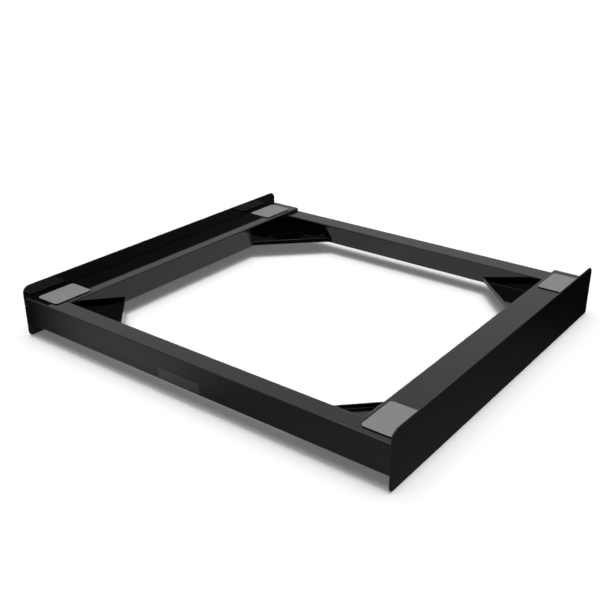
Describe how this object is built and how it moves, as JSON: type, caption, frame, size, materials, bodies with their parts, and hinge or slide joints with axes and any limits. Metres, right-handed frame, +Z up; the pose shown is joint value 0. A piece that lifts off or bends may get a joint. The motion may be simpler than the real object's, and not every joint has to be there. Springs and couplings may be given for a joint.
{
  "type": "washer dryer stacking kit",
  "caption": "Square gloss black steel frame with raised side plates, corner trays and grey grip pads, which stacks a tumble dryer on a washing machine.",
  "frame": {"origin": "middle of the frame on the plane of the side plates' bottom edges", "axes": "+X to the right seen from the front, across the two side plates; -Y to the front, where the name plate is; +Z up, towards the dryer"},
  "size_m": [0.606, 0.555, 0.076],
  "materials": {
    "gloss_black": "smooth high-gloss black powder coat",
    "pad_grey": "mid grey anti-slip face with a fine dark speckle",
    "pad_backing": "black closed-cell adhesive foam",
    "foot_rubber": "matte black rubber",
    "zinc": "bright zinc plate",
    "copper_flash": "copper flashed steel",
    "black_plastic": "gloss black moulded plastic",
    "plate_satin": "blank satin charcoal"
  },
  "bodies": {
    "root": {"left_side_plate": "gloss_black", "right_side_plate": "gloss_black", "front_rail": "gloss_black", "back_rail": "gloss_black", "left_side_rail": "gloss_black", "right_side_rail": "gloss_black", "tray_front_left": "gloss_black", "tray_front_right": "gloss_black", "tray_back_left": "gloss_black", "tray_back_right": "gloss_black", "top_pad_front_left": "pad_grey", "top_pad_front_right": "pad_grey", "top_pad_back_left": "pad_grey", "top_pad_back_right": "pad_grey", "backing_front_left": "pad_backing", "backing_front_right": "pad_backing", "backing_back_left": "pad_backing", "backing_back_right": "pad_backing", "foot_pad_front_left": "foot_rubber", "foot_pad_front_right": "foot_rubber", "foot_pad_back_left": "foot_rubber", "foot_pad_back_right": "foot_rubber", "left_end_bracket": "zinc", "right_end_bracket": "zinc", "left_rail_cap": "black_plastic", "right_rail_cap": "black_plastic", "weld_studs": "copper_flash", "flange_nuts": "zinc", "tray_screws": "zinc", "tray_nuts": "zinc", "name_plate": "plate_satin"}
  },
  "joints": []
}
